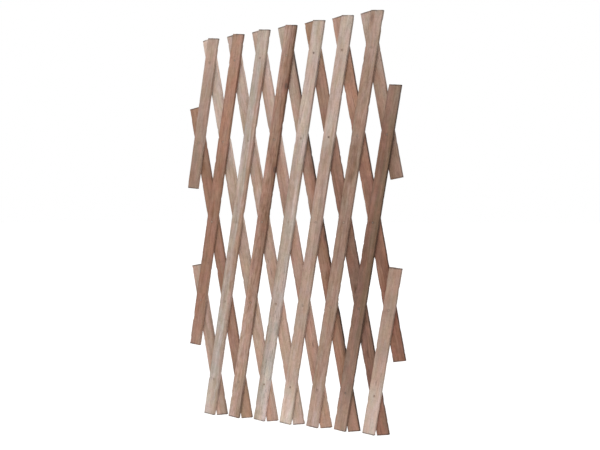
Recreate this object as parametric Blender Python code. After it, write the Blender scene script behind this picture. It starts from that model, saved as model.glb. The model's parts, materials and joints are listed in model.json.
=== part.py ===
"""Expanding garden trellis: two layers of wooden slats riveted into a scissor lattice.

The panel stands upright and faces -Y. Its back lies in the wall plane Y = 0, and the
origin is on that plane behind the middle rivet. Every front slat leans to the right by
HALF_ANGLE and every back slat to the left by as much, so the panel folds and opens as
that angle changes.
"""
import math

import bmesh
import bpy
from mathutils import Vector

# Lattice
ROWS = 5                          # rows of rivets, counted from the top
WIDE_ROW_RIVETS = 8               # the even rows; the odd rows have one rivet fewer
RIVET_PITCH = 0.1485              # rivet to rivet along a slat
HALF_ANGLE = math.radians(10.75)  # lean of a slat from upright, as photographed

# Slats
SLAT_WIDTH = 0.022
SLAT_THICKNESS = 0.0055
ARRIS = 0.0006                    # eased long edges
LAYER_GAP = 0.0003                # between the two layers
TOP_RUN = 0.0535                  # from the top rivet to the top end, middle of the panel
TOP_RUN_STEP = 0.0014             # added per half column to the right: a slanting trim
BOTTOM_RUN = 0.0675               # from the bottom rivet to the bottom end
LEFT_TOP_RUN = 0.067              # back slats that end at the left side
LEFT_BOTTOM_RUN = 0.0855          # front slats that end at the left side
RIGHT_TOP_RUN = 0.083             # front slats that end at the right side, above the middle row
RIGHT_TOP_RUN_LOW = 0.0725        # and below it
RIGHT_BOTTOM_RUN = 0.0745         # back slats that end at the right side, above the middle row
RIGHT_BOTTOM_RUN_LOW = 0.087      # and below it
FRONT_END_SKEW = math.radians(5)  # the saw cut, off square towards level
BACK_END_SKEW = math.radians(1)

# Rivets
SHANK_RADIUS = 0.0008
SHANK_CLEARANCE = 0.0004
HEAD_RADIUS = 0.0015
HEAD_RIM = 0.0004                 # straight rim below the dome
HEAD_RISE = 0.0006                # height of the dome above the rim
TAIL_RADIUS = 0.0014              # the end that is hammered over, at the back
TAIL_THICKNESS = 0.0005
TAIL_CHAMFER = 0.0002
SEAT_CLEARANCE = 0.0003           # under the head and under the tail
RECESS_CLEARANCE = 0.0004         # round the head and round the tail
HEAD_RECESS = 0.0010              # depth of the recess in the front face
TAIL_RECESS = 0.0011              # depth of the recess in the back face
SIDES = 10                        # facets of a round piece
DOME_STEPS = 3

FRONT_TONES = (
    ("fawn", 167, 138, 120), ("terracotta", 159, 121, 102), ("ash grey", 179, 159, 146),
    ("brown", 161, 128, 111), ("pinkish grey", 181, 163, 151), ("pinkish beige", 182, 158, 144),
    ("taupe", 159, 131, 114), ("dark brown", 138, 109, 93), ("beige grey", 174, 152, 139),
)
BACK_TONES = (
    ("fawn", 172, 143, 126), ("clay", 155, 119, 101), ("pale pink", 182, 157, 142),
    ("tan", 181, 151, 135), ("rose", 174, 141, 125), ("pink brown", 159, 128, 111),
    ("red brown", 142, 109, 93), ("rust", 147, 108, 91), ("grey brown", 157, 131, 115),
)
RIVET_TONE = ("dull steel", 112, 100, 92)

MIDDLE_COLUMN = WIDE_ROW_RIVETS
MIDDLE_ROW = (ROWS + 1) // 2
FRONT_FACE = -2 * SLAT_THICKNESS - LAYER_GAP


def clear_scene():
    for item in list(bpy.data.objects):
        bpy.data.objects.remove(item)


def linear(level):
    """One 0 to 255 display level as the linear value that a shader takes."""
    share = level / 255
    return share / 12.92 if share <= 0.04045 else ((share + 0.055) / 1.055) ** 2.4


def make_material(name, tone, roughness, metallic):
    material = bpy.data.materials.new(name)
    material.use_nodes = True
    shader = material.node_tree.nodes["Principled BSDF"]
    colour = tuple(linear(level) for level in tone[1:])
    shader.inputs["Base Color"].default_value = (*colour, 1)
    shader.inputs["Roughness"].default_value = roughness
    shader.inputs["Metallic"].default_value = metallic
    return material


def add_object(name, mesh, location, turn=0.0, parent=None):
    item = bpy.data.objects.new(name, mesh)
    item.location = location
    item.rotation_euler = (0, turn, 0)
    item.parent = parent
    bpy.context.scene.collection.objects.link(item)
    return item


def row_columns(row):
    """Columns of one row's rivets: the rows are staggered by one half column."""
    first = 2 if row % 2 else 1
    return range(first, 2 * WIDE_ROW_RIVETS, 2)


def rivet_place(column, row):
    """A rivet's place on the wall plane."""
    across = (column - MIDDLE_COLUMN) * RIVET_PITCH * math.sin(HALF_ANGLE)
    down = (row - MIDDLE_ROW) * RIVET_PITCH * math.cos(HALF_ANGLE)
    return Vector((across, 0, -down))


def slat_rows(lean):
    """The rivets of every slat of one layer, top to bottom, from the left slat to the right.

    A front slat (lean 1) passes one half column to the left with each row down, and a
    back slat (lean -1) one to the right, so column + lean * row is the same all along it.
    """
    slats = {}
    for row in range(1, ROWS + 1):
        for column in row_columns(row):
            slats.setdefault(column + lean * row, []).append((column, row))
    return [slats[key] for key in sorted(slats)]


def hinge_row(rivets, lean):
    """The row where a slat crosses the other layer's middle slat, or its nearest rivet."""
    column, row = rivets[0]
    crossing = (MIDDLE_ROW + row + lean * (column - MIDDLE_COLUMN)) / 2
    return min(rivets, key=lambda rivet: abs(rivet[1] - crossing))[1]


def top_run(column, row):
    """How far a slat goes on above its highest rivet."""
    if row == 1:
        return TOP_RUN + TOP_RUN_STEP * (column - MIDDLE_COLUMN)
    if column < MIDDLE_COLUMN:
        return LEFT_TOP_RUN
    return RIGHT_TOP_RUN if row < MIDDLE_ROW else RIGHT_TOP_RUN_LOW


def bottom_run(column, row):
    """How far a slat goes on below its lowest rivet."""
    if row == ROWS:
        return BOTTOM_RUN
    if column < MIDDLE_COLUMN:
        return LEFT_BOTTOM_RUN
    return RIGHT_BOTTOM_RUN if row < MIDDLE_ROW else RIGHT_BOTTOM_RUN_LOW


def slat_blank(top, bottom, skew, y_back):
    """An undrilled slat between two heights on its own axis, with its ends sawn askew."""
    drop = SLAT_WIDTH / 2 * math.tan(skew)
    half = SLAT_WIDTH / 2
    outline = ((-half, bottom - drop), (half, bottom + drop), (half, top + drop), (-half, top - drop))
    shape = bmesh.new()
    corners = [shape.verts.new((x, y_back, z)) for x, z in outline]
    back = shape.faces.new(corners)
    front = bmesh.ops.extrude_face_region(shape, geom=[back])
    moved = [item for item in front["geom"] if isinstance(item, bmesh.types.BMVert)]
    bmesh.ops.translate(shape, verts=moved, vec=(0, -SLAT_THICKNESS, 0))
    bmesh.ops.recalc_face_normals(shape, faces=shape.faces)
    long_edges = [edge for edge in shape.edges if abs(edge.verts[0].co.z - edge.verts[1].co.z) > SLAT_WIDTH]
    bmesh.ops.bevel(shape, geom=long_edges, offset=ARRIS, segments=1, affect="EDGES", profile=0.5)
    return shape


def turned(outline, height=0.0):
    """A solid turned about the Y axis from an outline of (radius, y) points, axis to axis."""
    shape = bmesh.new()
    points = [shape.verts.new((radius, y, 0)) for radius, y in outline]
    edges = [shape.edges.new(pair) for pair in zip(points, points[1:])]
    bmesh.ops.spin(shape, geom=points + edges, cent=(0, 0, 0), axis=(0, 1, 0),
                   angle=math.tau, steps=SIDES)
    bmesh.ops.remove_doubles(shape, verts=shape.verts, dist=1e-6)
    bmesh.ops.translate(shape, verts=shape.verts, vec=(0, 0, height))
    bmesh.ops.recalc_face_normals(shape, faces=shape.faces)
    return shape


def polygon_reach(radius):
    """Corner radius of a faceted hole whose flats stand clear of a round of this radius."""
    return radius / math.cos(math.pi / SIDES)


def drill_outline(lean):
    """A stepped drill: the shank hole, and the recess for the head or for the tail."""
    hole = polygon_reach(SHANK_RADIUS + SHANK_CLEARANCE)
    past = SLAT_THICKNESS / 2
    if lean > 0:
        recess = polygon_reach(HEAD_RADIUS + RECESS_CLEARANCE)
        inner_end = FRONT_FACE + SLAT_THICKNESS + past
        shoulder = FRONT_FACE + HEAD_RECESS
        outer_end = FRONT_FACE - past
    else:
        recess = polygon_reach(TAIL_RADIUS + RECESS_CLEARANCE)
        inner_end = -SLAT_THICKNESS - past
        shoulder = -TAIL_RECESS
        outer_end = past
    return ((0, inner_end), (hole, inner_end), (hole, shoulder), (recess, shoulder),
            (recess, outer_end), (0, outer_end))


def drill(slat, heights, lean):
    """Cuts a stepped hole through a slat at each height on its axis."""
    tool = bmesh.new()
    for height in heights:
        one = turned(drill_outline(lean), height)
        mesh = bpy.data.meshes.new("drill")
        one.to_mesh(mesh)
        one.free()
        tool.from_mesh(mesh)
        bpy.data.meshes.remove(mesh)
    mesh = bpy.data.meshes.new(slat.name + "_drill")
    tool.to_mesh(mesh)
    tool.free()
    cutter = add_object(slat.name + "_drill", mesh, (0, 0, 0), parent=slat)
    cutter.hide_render = True
    cutter.display_type = "WIRE"
    holes = slat.modifiers.new("Holes", "BOOLEAN")
    holes.operation = "DIFFERENCE"
    holes.solver = "EXACT"
    holes.object = cutter


def make_slat(name, rivets, lean, tone):
    """One slat with its origin on its hinge, leaning to its side, drilled at its rivets."""
    hinge = hinge_row(rivets, lean)
    heights = {row: (hinge - row) * RIVET_PITCH for column, row in rivets}
    first, last = rivets[0], rivets[-1]
    top = heights[first[1]] + top_run(*first)
    bottom = heights[last[1]] - bottom_run(*last)
    skew = FRONT_END_SKEW if lean > 0 else -BACK_END_SKEW
    y_back = -SLAT_THICKNESS - LAYER_GAP if lean > 0 else 0
    blank = slat_blank(top, bottom, skew, y_back)
    mesh = bpy.data.meshes.new(name)
    blank.to_mesh(mesh)
    blank.free()
    mesh.materials.append(make_material(name, tone, 0.8, 0.0))
    pivot = next(rivet_place(*rivet) for rivet in rivets if rivet[1] == hinge)
    slat = add_object(name, mesh, pivot, turn=lean * HALF_ANGLE)
    drill(slat, heights.values(), lean)
    return slat


def rivet_outline():
    """A rivet from its hammered tail, behind the back slat's face, to its domed head."""
    tail_seat = -TAIL_RECESS + SEAT_CLEARANCE
    tail_end = tail_seat + TAIL_THICKNESS
    head_seat = FRONT_FACE + HEAD_RECESS - SEAT_CLEARANCE
    rim = head_seat - HEAD_RIM
    outline = [(0, tail_end), (TAIL_RADIUS - TAIL_CHAMFER, tail_end),
               (TAIL_RADIUS, tail_end - TAIL_CHAMFER), (TAIL_RADIUS, tail_seat),
               (SHANK_RADIUS, tail_seat), (SHANK_RADIUS, head_seat), (HEAD_RADIUS, head_seat)]
    for step in range(DOME_STEPS):
        angle = math.pi / 2 * step / DOME_STEPS
        outline.append((HEAD_RADIUS * math.cos(angle), rim - HEAD_RISE * math.sin(angle)))
    outline.append((0, rim - HEAD_RISE))
    return outline


def rivet_mesh():
    shape = turned(rivet_outline())
    mesh = bpy.data.meshes.new("rivet")
    shape.to_mesh(mesh)
    shape.free()
    mesh.shade_smooth()
    mesh.set_sharp_from_angle(angle=math.radians(40))
    mesh.materials.append(make_material("rivet", RIVET_TONE, 0.5, 1.0))
    return mesh


def make_back_layer(rivet):
    """The back slats, each carrying the rivets that pass through it."""
    for number, rivets in enumerate(slat_rows(-1), start=1):
        slat = make_slat(f"back_slat_{number}", rivets, -1, BACK_TONES[(number - 1) % len(BACK_TONES)])
        hinge = hinge_row(rivets, -1)
        for column, row in rivets:
            place = row_columns(row).index(column) + 1
            height = (hinge - row) * RIVET_PITCH
            add_object(f"rivet_row{row}_{place}", rivet, (0, 0, height), parent=slat)


def make_front_layer():
    for number, rivets in enumerate(slat_rows(1), start=1):
        make_slat(f"front_slat_{number}", rivets, 1, FRONT_TONES[(number - 1) % len(FRONT_TONES)])


clear_scene()
make_back_layer(rivet_mesh())
make_front_layer()
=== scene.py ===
import json
import math

import bmesh
import bpy
from mathutils import Matrix, Quaternion, Vector, noise

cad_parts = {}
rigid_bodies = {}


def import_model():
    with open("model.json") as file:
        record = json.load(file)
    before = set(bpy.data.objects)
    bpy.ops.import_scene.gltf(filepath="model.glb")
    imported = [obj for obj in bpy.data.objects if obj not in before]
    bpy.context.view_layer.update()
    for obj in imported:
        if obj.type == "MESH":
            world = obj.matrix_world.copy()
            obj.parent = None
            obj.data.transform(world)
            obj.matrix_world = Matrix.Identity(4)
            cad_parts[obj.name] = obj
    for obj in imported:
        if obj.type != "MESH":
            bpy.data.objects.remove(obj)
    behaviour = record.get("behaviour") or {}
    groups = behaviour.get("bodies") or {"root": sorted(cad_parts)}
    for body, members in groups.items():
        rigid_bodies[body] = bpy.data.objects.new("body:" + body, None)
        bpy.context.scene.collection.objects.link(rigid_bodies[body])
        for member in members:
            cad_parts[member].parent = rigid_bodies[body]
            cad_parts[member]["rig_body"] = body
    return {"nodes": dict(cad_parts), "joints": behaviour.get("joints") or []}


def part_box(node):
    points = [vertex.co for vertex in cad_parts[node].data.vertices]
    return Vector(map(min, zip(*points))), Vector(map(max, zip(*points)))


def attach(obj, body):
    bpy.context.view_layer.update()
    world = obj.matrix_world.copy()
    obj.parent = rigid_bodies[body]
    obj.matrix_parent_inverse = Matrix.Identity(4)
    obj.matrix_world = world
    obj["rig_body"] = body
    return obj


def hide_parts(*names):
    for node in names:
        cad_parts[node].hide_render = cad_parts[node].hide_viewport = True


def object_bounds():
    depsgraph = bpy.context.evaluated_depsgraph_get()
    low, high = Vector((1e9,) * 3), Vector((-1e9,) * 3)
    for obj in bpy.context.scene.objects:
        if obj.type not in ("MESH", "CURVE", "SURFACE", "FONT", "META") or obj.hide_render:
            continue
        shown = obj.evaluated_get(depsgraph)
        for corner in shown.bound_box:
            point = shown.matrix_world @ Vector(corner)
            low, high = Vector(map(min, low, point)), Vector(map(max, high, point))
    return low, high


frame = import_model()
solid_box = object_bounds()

# The blanks of the slats.
# Each slat is a thin lath ripped from rough hardwood with a coarse saw and cut to length by hand,
# so its faces are uneven, its edges wander and its arrises are worn and chipped.
ARRIS = 0.00035             # how far the arrises are worn round
MESH_STEP = 0.0035          # along the slat
ACROSS_CUTS = 7
THROUGH_CUTS = 2
EDGE_SWELL = 0.0002         # the sawn edges wander out to this
EDGE_WANDER = 0.0002        # and back from there by this
EDGE_WAVES = 22             # in a metre of edge
EDGES_APART = 9             # keeps the two edges from wandering alike
FACE_HOLLOW = 0.00022       # how far the open face dips
FACE_DIPS = (90, 18)        # in a metre across and along
CHIP_REACH = 0.0010         # how close to an arris a chip stays
CHIP_DEPTH = 0.0008
CHIP_SLANT = 0.6            # a chip's depth into the face over its depth into the edge
CHIP_MARKS = 45             # in a metre of arris
CHIP_FLOOR = 0.22           # the noise has to pass this for the wood to chip
CHIPS_APART = 5             # keeps the four arrises from chipping alike
END_FIBRES = 0.0004         # how far the sawn ends are torn back
END_TEARS = 700             # in a metre of sawn end

middles = {name: sum(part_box(name), Vector()) / 2 for name in frame["nodes"] if name.startswith("rivet")}
rivet_step = middles["rivet_row1_1"] - middles["rivet_row2_1"]
RIVET_PITCH = Vector((rivet_step.x, rivet_step.z)).length
LEAN = math.atan2(rivet_step.x, rivet_step.z)


def slat_turn(node):
    return LEAN if node.startswith("front") else -LEAN


def slat_hinge(node):
    hinge = next(joint["pos_m"] for joint in frame["joints"] if joint["child"] == node)
    return Vector((hinge[0], 0, hinge[2]))


def slat_axes(node):
    """From a slat's own axes, across, through and along it, to the frame's."""
    return Matrix.Translation(slat_hinge(node)) @ Matrix.Rotation(slat_turn(node), 4, "Y")


def slat_size(node):
    """Half the solid's width, its front and back, and the low and high ends of its two edges."""
    to_slat = slat_axes(node).inverted()
    points = [to_slat @ vertex.co for vertex in frame["nodes"][node].data.vertices]
    half = max(point.x for point in points)
    at_edge = 0.9 * half
    left = [point.z for point in points if point.x < -at_edge]
    right = [point.z for point in points if point.x > at_edge]
    return {"half": half, "front": min(point.y for point in points), "back": max(point.y for point in points),
            "left": (min(left), max(left)), "right": (min(right), max(right))}


def rivets_through(node, size):
    """Heights on the slat's own axis of the rivets that pass through it."""
    on_axis = 0.001
    low, high = size["left"]
    to_slat = slat_axes(node).inverted()
    places = [to_slat @ middle for middle in middles.values()]
    return sorted(place.z for place in places if abs(place.x) < on_axis and low < place.z < high)


def waves(x, y, z):
    """Smooth noise between 0 and 1."""
    return 0.5 + 0.5 * noise.noise(Vector((x, y, z)))


def straight_lath(width, thickness, length):
    """A lath about the origin with rounded arrises, cut into a grid fine enough to roughen."""
    shape = bmesh.new()
    bmesh.ops.create_cube(shape, size=1)
    bmesh.ops.scale(shape, verts=shape.verts, vec=(width, thickness, length))
    bmesh.ops.bevel(shape, geom=shape.edges[:], offset=ARRIS, segments=2, profile=0.5,
                    affect="EDGES", material=-1)
    cuts = ((2, length, int(length / MESH_STEP)), (0, width, ACROSS_CUTS), (1, thickness, THROUGH_CUTS))
    for axis, span, count in cuts:
        long_edges = [edge for edge in shape.edges
                      if abs(edge.verts[0].co[axis] - edge.verts[1].co[axis]) > span / 2]
        bmesh.ops.subdivide_edges(shape, edges=long_edges, cuts=count, use_grid_fill=True)
    return shape


def sawn_lath(size, seed, open_side):
    """A lath with slanting sawn ends, a hollowed open face, wandering edges and chipped arrises."""
    width, thickness = 2 * size["half"], size["back"] - size["front"]
    length = size["left"][1] - size["left"][0]
    shape = straight_lath(width, thickness, length)
    for vertex in shape.verts:
        across = vertex.co.x / width
        through = vertex.co.y / thickness
        up = vertex.co.z / length + 0.5
        low = size["left"][0] + (across + 0.5) * (size["right"][0] - size["left"][0])
        high = size["left"][1] + (across + 0.5) * (size["right"][1] - size["left"][1])
        place = Vector((vertex.co.x, vertex.co.y, low + up * (high - low)))
        side = math.copysign(1, across)
        wander = waves(seed, EDGES_APART * side, place.z * EDGE_WAVES)
        place.x += across * 2 * (EDGE_SWELL - EDGE_WANDER * wander)
        if through * open_side > 0:
            hollow = waves(place.x * FACE_DIPS[0], seed + 3, place.z * FACE_DIPS[1])
            place.y -= through * 2 * FACE_HOLLOW * hollow
        to_edge = size["half"] - abs(vertex.co.x)
        to_face = thickness / 2 - abs(vertex.co.y)
        if max(to_edge, to_face) < CHIP_REACH:
            arris = Vector((side * CHIPS_APART + seed, math.copysign(CHIPS_APART, through),
                            place.z * CHIP_MARKS))
            chip = max(0, noise.fractal(arris, 0.6, 2.0, 3) - CHIP_FLOOR) * CHIP_DEPTH * 2
            chip = min(chip, CHIP_DEPTH)
            place.x -= side * chip
            place.y -= math.copysign(chip * CHIP_SLANT, through)
        to_end = min(up, 1 - up) * length
        if to_end < MESH_STEP / 2:
            tear = waves(place.x * END_TEARS, place.y * END_TEARS + seed, 0)
            place.z -= math.copysign(END_FIBRES * tear, up - 0.5)
        place.y += (size["front"] + size["back"]) / 2
        vertex.co = place
    return shape


# The drilled holes.
# Each slat is drilled through at every crossing, and counterbored on its open face so that
# the rivet's head, or its hammered tail, sits in the wood. Some ends have split along the grain.
HOLE_RADIUS = 0.0012
HEAD_RECESS = (0.00165, 0.0010)     # radius and depth
TAIL_RECESS = (0.00155, 0.0011)
DRILL_PAST = 0.002                  # how far the drill passes both faces
HOLE_SIDES = 20
SPLIT_WIDTH = 0.0006                # of a crack at its open end
SPLIT_CLOSED = 0.05                 # the share of that width left where it closes
SPLIT_THROUGH = 0.03                # more than a slat is thick
SPLIT_MIDDLE = 0.4                  # from the slat's end to the crack's middle, as a share of the crack
WELD = 0.000001                     # corners nearer to each other than this become one
WOOD_SHARP = math.radians(42)


def turned(outline, height, sides):
    """A solid turned about the Y axis at a height, from an outline of (radius, y) points."""
    shape = bmesh.new()
    points = [shape.verts.new((radius, y, 0)) for radius, y in outline]
    edges = [shape.edges.new(pair) for pair in zip(points, points[1:])]
    bmesh.ops.spin(shape, geom=points + edges, cent=(0, 0, 0), axis=(0, 1, 0),
                   angle=math.tau, steps=sides, use_merge=True)
    bmesh.ops.remove_doubles(shape, verts=shape.verts, dist=WELD)
    bmesh.ops.recalc_face_normals(shape, faces=shape.faces)
    bmesh.ops.translate(shape, verts=shape.verts, vec=(0, 0, height))
    return shape


def split(size, where, depth, up):
    """A crack from an end of the slat, wide at the end and closing along the grain."""
    shape = bmesh.new()
    bmesh.ops.create_cube(shape, size=1)
    bmesh.ops.scale(shape, verts=shape.verts, vec=(SPLIT_WIDTH, SPLIT_THROUGH, depth))
    inner = [vertex for vertex in shape.verts if vertex.co.z * up < 0]
    bmesh.ops.scale(shape, verts=inner, vec=(SPLIT_CLOSED, 1, 1))
    end = size["left"][1] if up > 0 else size["left"][0]
    middle = (where * size["half"], 0, end - up * depth * SPLIT_MIDDLE)
    bmesh.ops.translate(shape, verts=shape.verts, vec=middle)
    return shape


def into_mesh(shapes, name):
    """Several shapes as one mesh."""
    whole = bmesh.new()
    for shape in shapes:
        part = bpy.data.meshes.new(name)
        shape.to_mesh(part)
        shape.free()
        whole.from_mesh(part)
        bpy.data.meshes.remove(part)
    mesh = bpy.data.meshes.new(name)
    whole.to_mesh(mesh)
    whole.free()
    return mesh


def add_piece(name, data):
    """An object for a mesh, a lamp or a camera, in the scene."""
    piece = bpy.data.objects.new(name, data)
    bpy.context.scene.collection.objects.link(piece)
    return piece


def cut_out(piece, cutter_mesh):
    """Cuts the mesh of one piece with another, welds the corners of the cuts and keeps the result."""
    cutter = add_piece(piece.name + "_drill", cutter_mesh)
    holes = piece.modifiers.new("Holes", "BOOLEAN")
    holes.solver = "EXACT"
    holes.object = cutter
    drilled = piece.evaluated_get(bpy.context.evaluated_depsgraph_get())
    blank, piece.data = piece.data, bpy.data.meshes.new_from_object(drilled)
    shape = bmesh.new()
    shape.from_mesh(piece.data)
    bmesh.ops.remove_doubles(shape, verts=shape.verts, dist=WELD)
    shape.to_mesh(piece.data)
    shape.free()
    piece.modifiers.remove(holes)
    bpy.data.objects.remove(cutter)
    bpy.data.meshes.remove(blank)


def drill_outline(size, open_side, recess):
    """The drill's outline: the shank hole, then the recess on the open side."""
    radius, depth = recess
    face = size["front"] if open_side < 0 else size["back"]
    far = size["back"] if open_side < 0 else size["front"]
    tip, step, top = far - open_side * DRILL_PAST, face - open_side * depth, face + open_side * DRILL_PAST
    return (0, tip), (HOLE_RADIUS, tip), (HOLE_RADIUS, step), (radius, step), (radius, top), (0, top)


def make_slat(node, seed, splits):
    """One slat, sawn, drilled and in its place, with splits as (share of the half width, length, end)."""
    open_side = -1 if node.startswith("front") else 1
    recess = HEAD_RECESS if open_side < 0 else TAIL_RECESS
    size = slat_size(node)
    blank = sawn_lath(size, seed, open_side)
    piece = add_piece(node + "_wood", into_mesh([blank], node))
    outline = drill_outline(size, open_side, recess)
    drills = [turned(outline, height, HOLE_SIDES) for height in rivets_through(node, size)]
    drills += [split(size, where, depth, up) for where, depth, up in splits]
    cut_out(piece, into_mesh(drills, node + "_drills"))
    piece.data.transform(slat_axes(node))
    piece.data.shade_smooth()
    piece.data.set_sharp_from_angle(angle=WOOD_SHARP)
    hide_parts(node)
    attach(piece, node)
    return piece


# The wood.
# Unfinished hardwood that has stood outside. Each lath is cut from another board, so it has its own
# tones and sometimes a margin of heartwood or a knot, and over them streaks, pores and saw marks
# along the grain, a few pin knots, dirt at the edges and ends, and painted light and shade on the sides.
PALETTE = {
    "bone": (210, 191, 177),
    "chalk": (192, 172, 159),
    "linen": (188, 166, 153),
    "flax": (186, 161, 147),
    "ash": (178, 163, 153),
    "dove": (175, 155, 142),
    "oat": (185, 156, 140),
    "biscuit": (176, 150, 135),
    "fawn": (175, 146, 130),
    "mushroom": (168, 142, 128),
    "rose": (171, 136, 120),
    "taupe": (162, 134, 118),
    "sand": (178, 148, 122),
    "terracotta": (169, 130, 110),
    "umber": (156, 122, 105),
    "cocoa": (151, 124, 108),
    "clay": (152, 115, 96),
    "russet": (146, 107, 90),
    "bark": (139, 111, 97),
    "walnut": (134, 101, 86),
    "mahogany": (125, 85, 70),
    "moss": (116, 93, 74),
    "peat": (124, 93, 79),
    "grime": (84, 68, 60),
    # The next tone is only for the painted shadow on back slat 6.
    "painted shadow": (82, 57, 46),
}
COOL, WARM = (0.975, 1.0, 1.035, 1), (1.025, 1.0, 0.965, 1)
OLIVE, ROSY = (0.972, 1.010, 0.970, 1), (1.035, 0.985, 0.990, 1)


def linear(level):
    """A level from 0 to 255 as the share of light that it stands for."""
    share = level / 255
    return share / 12.92 if share <= 0.04045 else ((share + 0.055) / 1.055) ** 2.4


def tone(name):
    return (*(linear(level) for level in PALETTE[name]), 1)


def put(tree, kind, inputs, **settings):
    """Adds a node; an input is a value, or another node's output to link to."""
    node = tree.nodes.new(kind)
    for key, value in settings.items():
        setattr(node, key, value)
    for key, value in inputs.items():
        if isinstance(value, bpy.types.NodeSocket):
            tree.links.new(value, node.inputs[key])
        else:
            node.inputs[key].default_value = value
    return node


def reckon(tree, operation, first, second=0.0):
    return put(tree, "ShaderNodeMath", {0: first, 1: second}, operation=operation).outputs[0]


def plus(tree, first, second):
    return reckon(tree, "ADD", first, second)


def minus(tree, first, second):
    return reckon(tree, "SUBTRACT", first, second)


def times(tree, first, second):
    return reckon(tree, "MULTIPLY", first, second)


def reckon_each(tree, operation, first, second):
    """The same on three numbers at once, as of a place or a colour."""
    return put(tree, "ShaderNodeVectorMath", {0: first, 1: second}, operation=operation).outputs[0]


def vector(tree, x=0.0, y=0.0, z=0.0):
    return put(tree, "ShaderNodeCombineXYZ", {0: x, 1: y, 2: z}).outputs[0]


def parts_of(tree, given):
    return put(tree, "ShaderNodeSeparateXYZ", {0: given}).outputs


def length_of(tree, given):
    return put(tree, "ShaderNodeVectorMath", {0: given}, operation="LENGTH").outputs[1]


def ramp(tree, value, low, high, start=0.0, end=1.0):
    """Smoothly from start to end as the value goes from low to high."""
    inputs = {"Value": value, "From Min": low, "From Max": high, "To Min": start, "To Max": end}
    return put(tree, "ShaderNodeMapRange", inputs, interpolation_type="SMOOTHSTEP").outputs[0]


def fade(tree, value, near, far, start=1.0):
    """Smoothly from start to nothing as the value goes from near to far."""
    return ramp(tree, value, near, far, start, 0.0)


def mottle(tree, place, scale, detail=2.0):
    return put(tree, "ShaderNodeTexNoise", {"Vector": place, "Scale": scale, "Detail": detail}).outputs[0]


def mix(tree, share, under, over):
    inputs = {0: share, 6: under, 7: over}
    return put(tree, "ShaderNodeMix", inputs, data_type="RGBA", blend_type="MIX").outputs[2]


def scaled(tree, colour, level):
    return reckon_each(tree, "MULTIPLY", colour, vector(tree, level, level, level))


def toned(tree, colour, level):
    """The colour at another brightness: the darker it gets, the browner."""
    red, blue = reckon(tree, "POWER", level, 0.82), reckon(tree, "POWER", level, 1.22)
    return reckon_each(tree, "MULTIPLY", colour, vector(tree, red, level, blue))


def darker(tree, colour, mask, least):
    """The colour as it is where the mask is 0, and least times as bright where it is 1."""
    return scaled(tree, colour, ramp(tree, mask, 0.0, 1.0, 1.0, least))


def swing(tree, field, strength):
    """A field from 0 to 1 as a swing about nought."""
    return times(tree, minus(tree, field, 0.5), strength)


SEED_ACROSS, SEED_ALONG = 0.37, 1.93    # metres between one slat's place in the patterns and the next's
DRIFT = 0.012                           # how far the grain and the heartwood's border wander sideways
DRIFT_MARKS = (8, 8, 5)                 # in a metre across, through and along the slat
KNOT_SQUEEZE = 0.5                      # a knot is twice as long as it is wide
PARTING, PARTING_REACH = -0.8, (0.001, 0.014)   # how much, and how near a knot, the grain parts
GRAIN_STRETCH = (1, 1, 0.03)
GRAIN_MARKS = {"bands": (230, 3.0), "fibres": (1000, 3.0), "lines": (120, 1.0)}
PATTERN_MARKS = {                       # marks in a metre across, through and along, and their detail
    "pores": ((2600, 2600, 230), 1.0),
    "patches": ((70, 70, 16), 3.0),
    "stains": ((90, 90, 56), 2.0),
    "warmth": ((95, 95, 26), 2.0),
    "blush": ((70, 70, 34), 2.0),
    "flecks": ((420, 420, 85), 2.0),
    "specks": ((620, 620, 95), 2.0),
    "saw": ((25, 25, 650), 2.0),
}


def grain_patterns(tree, given, own):
    """Noise fields that run along the slat and part round its knots, and the share of its height."""
    seed = given["Seed"]
    shift = vector(tree, times(tree, seed, SEED_ACROSS), 0.0, times(tree, seed, SEED_ALONG))
    place = reckon_each(tree, "ADD", given["Place"], shift)
    drift = minus(tree, mottle(tree, reckon_each(tree, "MULTIPLY", place, DRIFT_MARKS), 1.0), 0.5)
    bend = times(tree, drift, DRIFT)
    to_knot = 1.0
    for knot in ("Knot", "Second knot"):
        offset = parts_of(tree, reckon_each(tree, "SUBTRACT", given["Place"], given[knot]))
        reach = length_of(tree, vector(tree, offset["X"], 0.0, times(tree, offset["Z"], KNOT_SQUEEZE)))
        parting = fade(tree, reach, *PARTING_REACH, PARTING)
        bend = plus(tree, times(tree, offset["X"], parting), bend)
        to_knot = reckon(tree, "MINIMUM", reach, to_knot)
    grain = reckon_each(tree, "MULTIPLY", reckon_each(tree, "ADD", place, vector(tree, bend)), GRAIN_STRETCH)
    field = {name: mottle(tree, grain, scale, detail) for name, (scale, detail) in GRAIN_MARKS.items()}
    field["lines"] = reckon(tree, "ABSOLUTE", minus(tree, field["lines"], 0.5))
    for name, (marks, detail) in PATTERN_MARKS.items():
        field[name] = mottle(tree, reckon_each(tree, "MULTIPLY", place, marks), 1.0, detail)
    above_foot = minus(tree, own["Z"], given["Bottom"])
    height = reckon(tree, "DIVIDE", above_foot, minus(tree, given["Top"], given["Bottom"]))
    return {**field, "place": place, "drift": drift, "knot": to_knot, "height": height}


RAGGED_TONES, RAGGED_ENDS = 0.35, 0.08  # how raggedly the tones meet, along the slat and near its ends
LOWER_BLEND, UPPER_BLEND = (0.18, 0.48), (0.52, 0.82)   # shares of the height over which tones meet
HEART_CHANGE = (0.15, 0.45)             # the same, for the heartwood's strength
HEART_BLEND = 0.003                     # half the width of the heartwood's border
END_BLEND = (0.01, 0.10)                # from the ends, where their tones thin out
FIGURE = {"bands": 0.60, "fibres": 0.55, "patches": 0.50, "flecks": 0.50, "stains": 0.35}
SHADE_SHAPE = (110, 0, 22)              # one over the half width and the half length of a shaded patch
SHADE_RAGGED = 1.6


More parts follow.
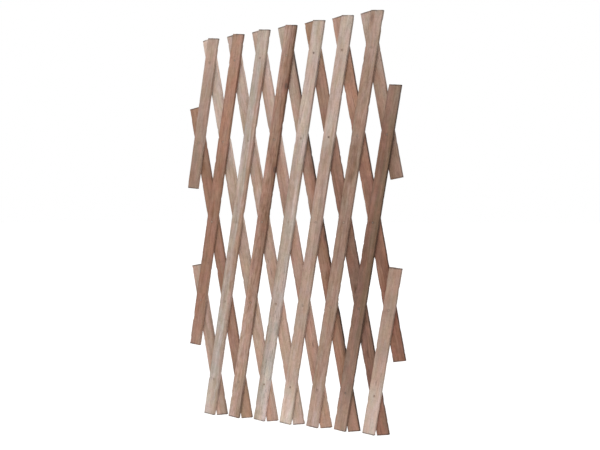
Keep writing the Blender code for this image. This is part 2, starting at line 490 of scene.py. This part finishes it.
def lath_tones(tree, given, own, field):
    """Three tones along the lath, a margin of heartwood, streaks, and another tone at each end."""
    height = plus(tree, field["height"], swing(tree, field["patches"], RAGGED_TONES))
    colour = mix(tree, ramp(tree, height, *LOWER_BLEND), given["Lower"], given["Middle"])
    colour = mix(tree, ramp(tree, height, *UPPER_BLEND), colour, given["Upper"])
    border = plus(tree, own["X"], times(tree, field["drift"], DRIFT))
    border = minus(tree, border, given["Heart edge"])
    share = ramp(tree, height, *HEART_CHANGE, given["Foot heart"], given["Top heart"])
    heart = times(tree, ramp(tree, border, -HEART_BLEND, HEART_BLEND), share)
    colour = mix(tree, heart, colour, given["Heart"])
    patchy = ramp(tree, field["patches"], 0.38, 0.60)
    streak = times(tree, ramp(tree, field["bands"], 0.48, 0.66), patchy)
    blot = ramp(tree, field["stains"], 0.52, 0.72, 0.0, 0.7)
    streak = times(tree, reckon(tree, "MAXIMUM", streak, blot), given["Streaks"])
    colour = mix(tree, streak, colour, given["Streak"])
    ragged = swing(tree, field["patches"], RAGGED_ENDS)
    from_tip = plus(tree, minus(tree, given["Top"], own["Z"]), ragged)
    from_foot = plus(tree, minus(tree, own["Z"], given["Bottom"]), ragged)
    colour = mix(tree, fade(tree, from_tip, *END_BLEND, given["Tip share"]), colour, given["Tip"])
    return mix(tree, fade(tree, from_foot, *END_BLEND, given["Foot share"]), colour, given["Foot"])


def lath_colour(tree, given, own, field):
    """The lath's tones with warm and cool patches, light and dark along the grain, and its shading."""
    colour = lath_tones(tree, given, own, field)
    warmth = mix(tree, ramp(tree, field["warmth"], 0.36, 0.64), COOL, WARM)
    blush = mix(tree, ramp(tree, field["blush"], 0.36, 0.64), OLIVE, ROSY)
    colour = reckon_each(tree, "MULTIPLY", reckon_each(tree, "MULTIPLY", colour, warmth), blush)
    figure = 0.0
    for pattern, strength in FIGURE.items():
        figure = plus(tree, swing(tree, field[pattern], strength), figure)
    level = plus(tree, 1.02, times(tree, figure, given["Figure"]))
    tilt = ramp(tree, field["height"], 0.3, 0.7, given["Foot tilt"], given["Top tilt"])
    tilt = times(tree, tilt, reckon(tree, "DIVIDE", own["X"], given["Half width"]))
    level = times(tree, level, plus(tree, tilt, 1.0))
    # A darker or paler patch of the wood about the shade point; on back slat 6 it is partly a painted shadow.
    from_shade = reckon_each(tree, "SUBTRACT", given["Place"], given["Shade"])
    from_shade = length_of(tree, reckon_each(tree, "MULTIPLY", from_shade, SHADE_SHAPE))
    shade = plus(tree, from_shade, times(tree, field["stains"], SHADE_RAGGED))
    level = times(tree, level, ramp(tree, shade, 1.0, 2.0, given["Shade level"], 1.0))
    return toned(tree, colour, level)


PORES = (0.60, 0.70)                    # the noise between which a pore opens
PIN_MARKS = (60, 60, 30)                # places for a pin knot in a metre across, through and along
PIN_CHANCE = 0.955                      # the share of those places that stay free
KNOT_HALO, KNOT_CORE = (0.003, 0.009), (0.0020, 0.0036)     # from the knot's middle
KNOT_RINGS = 2200                       # in a metre
RIVET_STAIN = (0.0019, 0.0042)          # from the rivet's middle


def lath_marks(tree, given, own, field, colour):
    """Pores, mould, drying checks, pin knots, the lath's own knots and the stain round each rivet."""
    colour = darker(tree, colour, ramp(tree, field["pores"], *PORES), least=0.70)
    colour = darker(tree, colour, ramp(tree, field["saw"], 0.52, 0.68), least=0.95)
    mould = times(tree, ramp(tree, field["specks"], 0.54, 0.68), given["Specks"])
    mould = times(tree, mould, fade(tree, field["height"], 0.3, 0.5))
    colour = darker(tree, colour, mould, least=0.55)
    checks = times(tree, fade(tree, field["lines"], 0.0, 0.010), ramp(tree, field["patches"], 0.55, 0.62))
    colour = darker(tree, colour, checks, least=0.58)
    pin_place = reckon_each(tree, "MULTIPLY", field["place"], PIN_MARKS)
    cells = put(tree, "ShaderNodeTexVoronoi", {"Vector": pin_place, "Scale": 1.0}).outputs
    chance = put(tree, "ShaderNodeSeparateColor", {0: cells["Color"]}).outputs[0]
    pins = fade(tree, cells["Distance"], 0.02, 0.08)
    pins = times(tree, pins, reckon(tree, "GREATER_THAN", chance, PIN_CHANCE))
    colour = darker(tree, colour, pins, least=0.70)
    # Knots; the two at back slat 6's right edge are a painted shadow of the front slats.
    halo = fade(tree, field["knot"], *KNOT_HALO, 0.60)
    colour = mix(tree, times(tree, halo, given["Knot share"]), colour, tone("mahogany"))
    rings = ramp(tree, mottle(tree, vector(tree, field["knot"]), KNOT_RINGS, 1.0), 0.35, 0.65, 0.45, 0.90)
    core = times(tree, fade(tree, field["knot"], *KNOT_CORE), rings)
    colour = mix(tree, times(tree, core, given["Knot share"]), colour, tone("grime"))
    along = reckon(tree, "PINGPONG", own["Z"], RIVET_PITCH / 2)
    from_rivet = length_of(tree, vector(tree, own["X"], 0.0, along))
    colour = darker(tree, colour, fade(tree, from_rivet, *RIVET_STAIN), least=0.90)
    return colour, checks


EDGE_DIRT = (0.0002, 0.0017)            # from the arris, where the dirt thins out
END_DIRT = (0.0010, 0.0036)             # from the sawn end
EDGE_FACING, END_FACING = (0.55, 0.85), (0.60, 0.85)    # how squarely a place faces sideways or endways
PITH = (0.03, 0.05, 0.0)                # from the slat to the heart of its tree
YEAR_RINGS = {"Scale": 240.0, "Distortion": 1.5, "Detail": 2.0}


def lath_grime_and_side_shading(tree, given, own, field, colour):
    """Dirt and wear along the arrises and at the sawn ends, and painted light and shade, with weathered grey,
    on the ripped sides.
    """
    worn = ramp(tree, field["stains"], 0.35, 0.60, 0.35, 1.0)
    to_edge = minus(tree, given["Half width"], reckon(tree, "ABSOLUTE", own["X"]))
    colour = darker(tree, colour, times(tree, fade(tree, to_edge, *EDGE_DIRT), worn), least=0.86)
    height = minus(tree, own["Z"], times(tree, own["X"], given["End slope"]))
    to_end = reckon(tree, "MINIMUM", minus(tree, given["Top"], height), minus(tree, height, given["Bottom"]))
    colour = darker(tree, colour, times(tree, fade(tree, to_end, *END_DIRT), worn), least=0.38)
    # The ripped sides get painted light and shade. Below 1 the side level darkens them, and above 1 it
    # lightens them and turns them towards weathered grey. The level runs from the foot's value to the top's.
    facing = parts_of(tree, given["Facing"])
    side = ramp(tree, reckon(tree, "ABSOLUTE", facing["X"]), *EDGE_FACING)
    side_light_and_shade = ramp(tree, field["height"], 0.1, 0.9, given["Foot side light and shade"], given["Top side light and shade"])
    greyed = times(tree, side, ramp(tree, side_light_and_shade, 1.0, 1.8, 0.0, 0.5))
    colour = mix(tree, greyed, colour, tone("chalk"))
    colour = scaled(tree, colour, ramp(tree, side, 0.0, 1.0, 1.0, side_light_and_shade))
    from_pith = reckon_each(tree, "ADD", field["place"], PITH)
    rings = put(tree, "ShaderNodeTexWave", {"Vector": from_pith, **YEAR_RINGS},
                wave_type="RINGS", rings_direction="Z").outputs[1]
    sawn_end = mix(tree, ramp(tree, rings, 0.2, 0.9, 0.1, 0.6), tone("grime"), tone("cocoa"))
    return mix(tree, ramp(tree, reckon(tree, "ABSOLUTE", facing["Z"]), *END_FACING), colour, sawn_end)


SOCKETS = {
    "Vector": ("Place", "Facing", "Knot", "Second knot", "Shade"),
    "Color": ("Upper", "Middle", "Lower", "Tip", "Foot", "Heart", "Streak"),
    "Float": ("Seed", "Streaks", "Figure", "Specks", "Tip share", "Foot share", "Top side light and shade", "Foot side light and shade",
              "Top tilt", "Foot tilt", "Knot share", "Shade level", "Heart edge", "Top heart", "Foot heart",
              "Half width", "Top", "Bottom", "End slope"),
}
RELIEF = {"fibres": 0.5, "saw": 0.35, "bands": 0.6}
RELIEF_DEPTH = 0.0006


def sawn_wood_group():
    """Colour, roughness and relief of weathered sawn wood, in the slat's own metres."""
    tree = bpy.data.node_groups.new("sawn wood", "ShaderNodeTree")
    for kind, names in SOCKETS.items():
        for name in names:
            tree.interface.new_socket(name, in_out="INPUT", socket_type="NodeSocket" + kind)
    for name, kind in (("Colour", "Color"), ("Roughness", "Float"), ("Normal", "Vector")):
        tree.interface.new_socket(name, in_out="OUTPUT", socket_type="NodeSocket" + kind)
    given = tree.nodes.new("NodeGroupInput").outputs
    own = parts_of(tree, given["Place"])
    field = grain_patterns(tree, given, own)
    colour = lath_colour(tree, given, own, field)
    colour, checks = lath_marks(tree, given, own, field, colour)
    colour = lath_grime_and_side_shading(tree, given, own, field, colour)
    rough = ramp(tree, field["fibres"], 0.3, 0.7, 0.92, 0.74)
    rough = plus(tree, rough, times(tree, checks, 0.05))
    relief = 0.0
    for pattern, strength in RELIEF.items():
        relief = plus(tree, times(tree, field[pattern], strength), relief)
    relief = minus(tree, relief, times(tree, checks, 0.8))
    relief = minus(tree, relief, ramp(tree, field["pores"], *PORES, 0.0, 0.3))
    bump = put(tree, "ShaderNodeBump", {"Strength": 0.7, "Distance": RELIEF_DEPTH, "Height": relief})
    put(tree, "NodeGroupOutput", {"Colour": colour, "Roughness": rough, "Normal": bump.outputs[0]})
    return tree


def new_material(name):
    """A material with its nodes and its surface shader."""
    material = bpy.data.materials.new(name)
    material.use_nodes = True
    return material, material.node_tree, material.node_tree.nodes["Principled BSDF"]


sawn_wood = sawn_wood_group()
NOWHERE = (0.0, 0.0, 9.0)               # past the slat's end, for a knot or shade that it doesn't have


# An edge pair sets the painted light and shade on the slat's side faces, at its top and at its foot: below 1
# it paints shade and above 1 it paints light.
def wood_material(node, seed, tones, streak, streaks=0.4, figure=1.0, specks=0.0,
                  tip=("linen", 0.2), foot=("linen", 0.2), edge=(0.9, 0.9), tilt=(0.0, 0.0),
                  heart=None, heart_edge=0.0, heart_share=(0.0, 0.0),
                  knot=NOWHERE, second_knot=NOWHERE, knot_share=1.0, shade=NOWHERE, shade_level=0.66):
    """One slat's wood, with its pattern laid along the slat; tones and pairs go from top to bottom."""
    material, tree, shader = new_material(node + " wood")
    given = tree.nodes.new("ShaderNodeTexCoord").outputs
    turn = (0, slat_turn(node), 0)
    laid = {"Vector": given["Object"], "Location": slat_hinge(node), "Rotation": turn}
    placed = put(tree, "ShaderNodeMapping", laid, vector_type="TEXTURE").outputs[0]
    facing = put(tree, "ShaderNodeMapping", {"Vector": given["Normal"], "Rotation": turn},
                 vector_type="TEXTURE").outputs[0]
    size = slat_size(node)
    left_low, left_high = size["left"]
    right_low, right_high = size["right"]
    upper, middle, lower = (tone(name) for name in tones)
    wood = put(tree, "ShaderNodeGroup", {
        "Place": placed, "Facing": facing, "Knot": knot, "Second knot": second_knot, "Shade": shade,
        "Upper": upper, "Middle": middle, "Lower": lower, "Tip": tone(tip[0]), "Foot": tone(foot[0]),
        "Heart": tone(heart or tones[1]), "Streak": tone(streak), "Seed": seed, "Streaks": streaks,
        "Figure": figure, "Specks": specks, "Tip share": tip[1], "Foot share": foot[1],
        "Top side light and shade": edge[0], "Foot side light and shade": edge[1], "Top tilt": tilt[0], "Foot tilt": tilt[1],
        "Knot share": knot_share, "Shade level": shade_level, "Heart edge": heart_edge,
        "Top heart": heart_share[0], "Foot heart": heart_share[1], "Half width": size["half"],
        "Top": (left_high + right_high) / 2, "Bottom": (left_low + right_low) / 2,
        "End slope": (right_high - left_high) / (2 * size["half"])}, node_tree=sawn_wood).outputs
    tree.links.new(wood["Colour"], shader.inputs["Base Color"])
    tree.links.new(wood["Roughness"], shader.inputs["Roughness"])
    tree.links.new(wood["Normal"], shader.inputs["Normal"])
    shader.inputs["Specular IOR Level"].default_value = 0.25
    return material


def finish_slat(node, seed, wood, splits):
    slat = make_slat(node, seed, splits)
    slat.data.materials.clear()
    slat.data.materials.append(wood_material(node, seed, **wood))


# The back slats.
# Nine laths in the wall plane, leaning to the left: five long ones, and two shorter ones at each
# side. Each has its tones from top to bottom, and its streaks, as the real lath has.
# Each edge pair paints light (above 1) or shade (below 1) on the slat's side faces, at its top and foot.
back_woods = (
    {"tones": ("fawn", "fawn", "fawn"), "streak": "umber", "edge": (1.3, 1.2), "tilt": (0.0, -0.24)},
    {"tones": ("clay", "clay", "umber"), "streak": "russet", "tip": ("sand", 0.35), "foot": ("sand", 0.5),
     "edge": (1.1, 1.1)},
    {"tones": ("chalk", "biscuit", "oat"), "streak": "sand", "tip": ("bone", 0.95), "foot": ("rose", 0.7),
     "edge": (1.6, 1.4)},
    {"tones": ("linen", "fawn", "oat"), "streak": "rose", "foot": ("linen", 0.6), "edge": (1.65, 1.2),
     "shade": (0.0, 0, 0.183), "shade_level": 1.28},
    {"tones": ("flax", "rose", "rose"), "streak": "umber", "tip": ("chalk", 0.8), "foot": ("sand", 0.4),
     "edge": (1.35, 1.4), "tilt": (0.24, 0.0)},
    # Back slat 6: its very dark right margin and the two dark knots at its right edge are a painted shadow of
    # the front slats just below where they cross it. Its shaded patch is partly a darker tone of the wood and
    # partly that painted shadow.
    {"tones": ("biscuit", "clay", "clay"), "streak": "russet", "tip": ("chalk", 0.8), "foot": ("umber", 0.9),
     "edge": (0.45, 0.5), "heart": "painted shadow", "heart_edge": 0.0068, "heart_share": (0.45, 0.6),
     "knot": (0.0098, 0, -0.308), "second_knot": (0.0098, 0, -0.178), "knot_share": 0.75,
     "shade": (0.004, 0, -0.264), "shade_level": 0.48},
    {"tones": ("umber", "walnut", "peat"), "streak": "russet", "tip": ("sand", 0.7), "foot": ("russet", 0.6),
     "edge": (1.1, 0.75), "tilt": (0.14, 0.0), "knot": (-0.009, 0, -0.500), "knot_share": 0.9,
     "shade": (0.0, 0, -0.440)},
    {"tones": ("terracotta", "russet", "mahogany"), "streak": "terracotta", "tip": ("oat", 0.5),
     "foot": ("russet", 0.5), "edge": (0.55, 0.55)},
    {"tones": ("biscuit", "taupe", "bark"), "streak": "walnut", "tip": ("linen", 0.4), "foot": ("bark", 0.5),
     "edge": (0.95, 0.9), "tilt": (0.0, 0.25)},
)
back_splits = {4: ((0.42, 0.030, 1),), 7: ((-0.22, 0.024, -1),)}
BACK_SEEDS = 20             # keeps their patterns apart from those of the front slats

for number, wood in enumerate(back_woods, start=1):
    finish_slat(f"back_slat_{number}", BACK_SEEDS + number, wood, back_splits.get(number, ()))

# The front slats.
# Nine laths in the same sizes, leaning to the right and riveted over the back ones. They take the
# light, so their streaks and knots show the most.
# Each edge pair paints light (above 1) or shade (below 1) on the slat's side faces, at its top and foot.
front_woods = (
    {"tones": ("fawn", "mushroom", "cocoa"), "streak": "cocoa", "tip": ("linen", 0.6), "foot": ("cocoa", 0.5),
     "edge": (1.1, 1.35)},
    {"tones": ("terracotta", "clay", "clay"), "streak": "russet", "streaks": 0.7, "figure": 1.2,
     "edge": (0.82, 1.3)},
    {"tones": ("ash", "dove", "ash"), "streak": "chalk", "streaks": 0.3, "tip": ("chalk", 0.9),
     "foot": ("chalk", 0.9), "specks": 0.4, "heart": "terracotta", "heart_edge": 0.0035,
     "heart_share": (0.7, 0.25), "edge": (0.92, 1.25), "shade": (0.0, 0, -0.43), "shade_level": 0.86},
    {"tones": ("umber", "umber", "fawn"), "streak": "clay", "streaks": 0.6, "figure": 1.8,
     "tilt": (-0.32, -0.15), "knot": (0.0100, 0, -0.052), "second_knot": (0.0085, 0, 0.096),
     "shade": (0.004, 0, -0.145), "shade_level": 0.70},
    {"tones": ("linen", "dove", "ash"), "streak": "chalk", "tip": ("chalk", 1.0), "foot": ("chalk", 0.9),
     "specks": 0.7, "edge": (0.92, 1.2), "tilt": (0.0, 0.26)},
    {"tones": ("linen", "mushroom", "biscuit"), "streak": "fawn", "tip": ("chalk", 0.6),
     "foot": ("bone", 0.8), "edge": (0.85, 1.1)},
    {"tones": ("taupe", "cocoa", "taupe"), "streak": "bark", "tip": ("linen", 0.4), "foot": ("linen", 0.5),
     "figure": 1.3, "edge": (0.85, 1.2), "tilt": (0.0, 0.06), "knot": (-0.007, 0, 0.6415), "knot_share": 0.5,
     "shade": (0.0, 0, 0.40)},
    {"tones": ("walnut", "peat", "bark"), "streak": "russet", "foot": ("taupe", 0.9), "edge": (0.55, 0.8),
     "tilt": (0.05, 0.0), "heart": "moss", "heart_edge": 0.001, "heart_share": (0.85, 0.18)},
    {"tones": ("taupe", "mushroom", "linen"), "streak": "oat", "streaks": 0.3, "tip": ("taupe", 0.5),
     "foot": ("chalk", 0.9), "figure": 0.75, "edge": (0.95, 1.1), "tilt": (0.0, 0.08)},
)
front_splits = {2: ((-0.3, 0.022, 1),), 4: ((0.31, 0.035, 1),), 6: ((0.1, 0.028, -1),)}

for number, wood in enumerate(front_woods, start=1):
    finish_slat(f"front_slat_{number}", number, wood, front_splits.get(number, ()))

# The rivets.
# Small steel rivets through every crossing, with a domed head in front and a tail hammered over
# behind. Most are dusty and as pale as the wood, some have gone brown and a few nearly black.
RIVET_SIDES = 20
DOME_STEPS = 5
HEAD_RIM = 0.0004
HEAD_RISE = 0.0006
SHANK_RADIUS = 0.0008
TAIL_THICKNESS = 0.0005
TAIL_SHARE = 0.93           # of the head's radius
TAIL_FACE = ((0, 0.0001), (0.55, 0.00008), (0.9, 0.0002))   # shares of its radius, and how deep it lies
TAIL_ROUNDING = (0.97, 0.0001)      # the share of its radius that its seat keeps, and over which height
STEEL_SHARP = math.radians(50)
BLACKENED = ("row1_5", "row2_6", "row2_8", "row3_7", "row4_7", "row5_6")
RUSTED = ("row1_6", "row4_4", "row5_3", "row5_4", "row5_5", "row5_7")


def rivet_outline(front, back, radius):
    """From the middle of the tail, along the shank, to the top of the domed head."""
    head_seat = front + HEAD_RISE + HEAD_RIM
    tail_seat = back - TAIL_THICKNESS
    tail = radius * TAIL_SHARE
    seat_share, rounding = TAIL_ROUNDING
    outline = [(tail * share, back - depth) for share, depth in TAIL_FACE]
    outline += [(tail, tail_seat + rounding), (tail * seat_share, tail_seat), (SHANK_RADIUS, tail_seat),
                (SHANK_RADIUS, head_seat), (radius, head_seat)]
    for step in range(DOME_STEPS):
        angle = math.pi / 2 * step / DOME_STEPS
        outline.append((radius * math.cos(angle), front + HEAD_RISE * (1 - math.sin(angle))))
    outline.append((0, front))
    return outline


def rivet_metal(name, clean, rust, least, most):
    """Steel under dust or rust, which begins where its noise is at least and is full at most."""
    material, tree, shader = new_material(name)
    place = tree.nodes.new("ShaderNodeTexCoord").outputs["Object"]
    cover = ramp(tree, mottle(tree, place, 900, 4.0), least, most)
    pits = mottle(tree, place, 2600, 2.0)
    bump = put(tree, "ShaderNodeBump", {"Strength": 0.5, "Distance": 0.0001, "Height": pits}).outputs[0]
    tree.links.new(mix(tree, cover, clean, rust), shader.inputs["Base Color"])
    tree.links.new(ramp(tree, cover, 0.0, 1.0, 0.50, 0.88), shader.inputs["Roughness"])
    tree.links.new(ramp(tree, cover, 0.1, 0.7, 0.7, 0.0), shader.inputs["Metallic"])
    tree.links.new(bump, shader.inputs["Normal"])
    return material


dusty_steel = rivet_metal("dusty rivet", (0.36, 0.28, 0.22, 1), (0.34, 0.25, 0.19, 1), 0.25, 0.45)
rusty_steel = rivet_metal("rusty rivet", (0.31, 0.225, 0.175, 1), (0.30, 0.20, 0.145, 1), 0.25, 0.45)
black_steel = rivet_metal("blackened rivet", (0.23, 0.18, 0.15, 1), (0.18, 0.125, 0.095, 1), 0.30, 0.50)


def rivet_finish(name):
    if name.endswith(BLACKENED):
        return black_steel
    return rusty_steel if name.endswith(RUSTED) else dusty_steel


for name, middle in middles.items():
    low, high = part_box(name)
    body = frame["nodes"][name]["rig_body"]
    shape = turned(rivet_outline(low.y, high.y, (high.z - low.z) / 2), 0, RIVET_SIDES)
    piece = add_piece(name + "_steel", into_mesh([shape], name))
    piece.data.transform(Matrix.Translation((middle.x, 0, middle.z)))
    piece.data.shade_smooth()
    piece.data.set_sharp_from_angle(angle=STEEL_SHARP)
    piece.data.materials.append(rivet_finish(name))
    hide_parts(name)
    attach(piece, body)

# The white ground that the panel is shown on.
# A plain pale floor well below the panel, plain white all round, soft lamps from the upper left in
# front and behind, and a weaker one low on the right.
FLOOR_DROP = 0.6
FLOOR_HALF = 30
PAPER_GLOW = 0.35           # only as the camera sees it
AMBIENT = 0.58              # the white's light on the panel; seen directly it is full white
LAMP_SPREAD = math.radians(30)

floor_mesh = bpy.data.meshes.new("floor")
floor_shape = bmesh.new()
bmesh.ops.create_grid(floor_shape, x_segments=1, y_segments=1, size=FLOOR_HALF)
bmesh.ops.translate(floor_shape, verts=floor_shape.verts, vec=(0, 0, solid_box[0].z - FLOOR_DROP))
floor_shape.to_mesh(floor_mesh)
floor_shape.free()
floor = add_piece("floor", floor_mesh)
paper, paper_tree, paper_shader = new_material("white paper")
floor_mesh.materials.append(paper)
paper_shader.inputs["Base Color"].default_value = (0.9, 0.9, 0.9, 1)
paper_shader.inputs["Roughness"].default_value = 0.9
paper_shader.inputs["Emission Color"].default_value = (1, 1, 1, 1)
seen = put(paper_tree, "ShaderNodeLightPath", {}).outputs["Is Camera Ray"]
paper_tree.links.new(times(paper_tree, seen, PAPER_GLOW), paper_shader.inputs["Emission Strength"])

world = bpy.data.worlds.new("white")
bpy.context.scene.world = world
world.use_nodes = True
sky = world.node_tree.nodes["Background"]
sky.inputs["Color"].default_value = (1, 1, 1, 1)
rays = put(world.node_tree, "ShaderNodeLightPath", {}).outputs
direct = reckon(world.node_tree, "MAXIMUM", rays["Is Camera Ray"], rays["Is Glossy Ray"])
strength = ramp(world.node_tree, direct, 0.0, 1.0, AMBIENT, 1.0)
world.node_tree.links.new(strength, sky.inputs["Strength"])


def aim(item, place, target):
    """Puts a lamp or the camera at a place and turns it to its target."""
    item.location = place
    item.rotation_mode = "QUATERNION"
    item.rotation_quaternion = (target - place).to_track_quat("-Z", "Y")


far_lamps = {"front lamp": (1.05, (-0.22, -1.0, 0.50)), "back lamp": (0.6, (-0.35, 1.0, 0.60))}
for name, (energy, place) in far_lamps.items():
    lamp_data = bpy.data.lights.new(name, "SUN")
    lamp_data.energy = energy
    lamp_data.angle = LAMP_SPREAD
    aim(add_piece(name, lamp_data), Vector(place), Vector((0, 0, 0)))

low_lamp_data = bpy.data.lights.new("low right lamp", "AREA")
low_lamp_data.energy = 3.0
low_lamp_data.size = 0.8
aim(add_piece("low right lamp", low_lamp_data), Vector((0.95, -0.65, -0.70)), Vector((0, 0, -0.25)))

# The camera.
# In front of the panel and to its right, a little above its middle. Its place, aim and roll were
# fitted to the crossings of the slats.
CAMERA_PLACE = Vector((0.92879, -1.50323, 0.04633))
CAMERA_AIM = Vector((0.02066, -0.00565, -0.00508))
CAMERA_ROLL = -0.01115
camera_data = bpy.data.cameras.new("camera")
camera_data.lens = 60
camera_data.sensor_width = 36
camera = add_piece("camera", camera_data)
aim(camera, CAMERA_PLACE, CAMERA_AIM)
camera.rotation_quaternion @= Quaternion((0, 0, 1), CAMERA_ROLL)
bpy.context.scene.camera = camera
bpy.context.scene.view_settings.view_transform = "Standard"
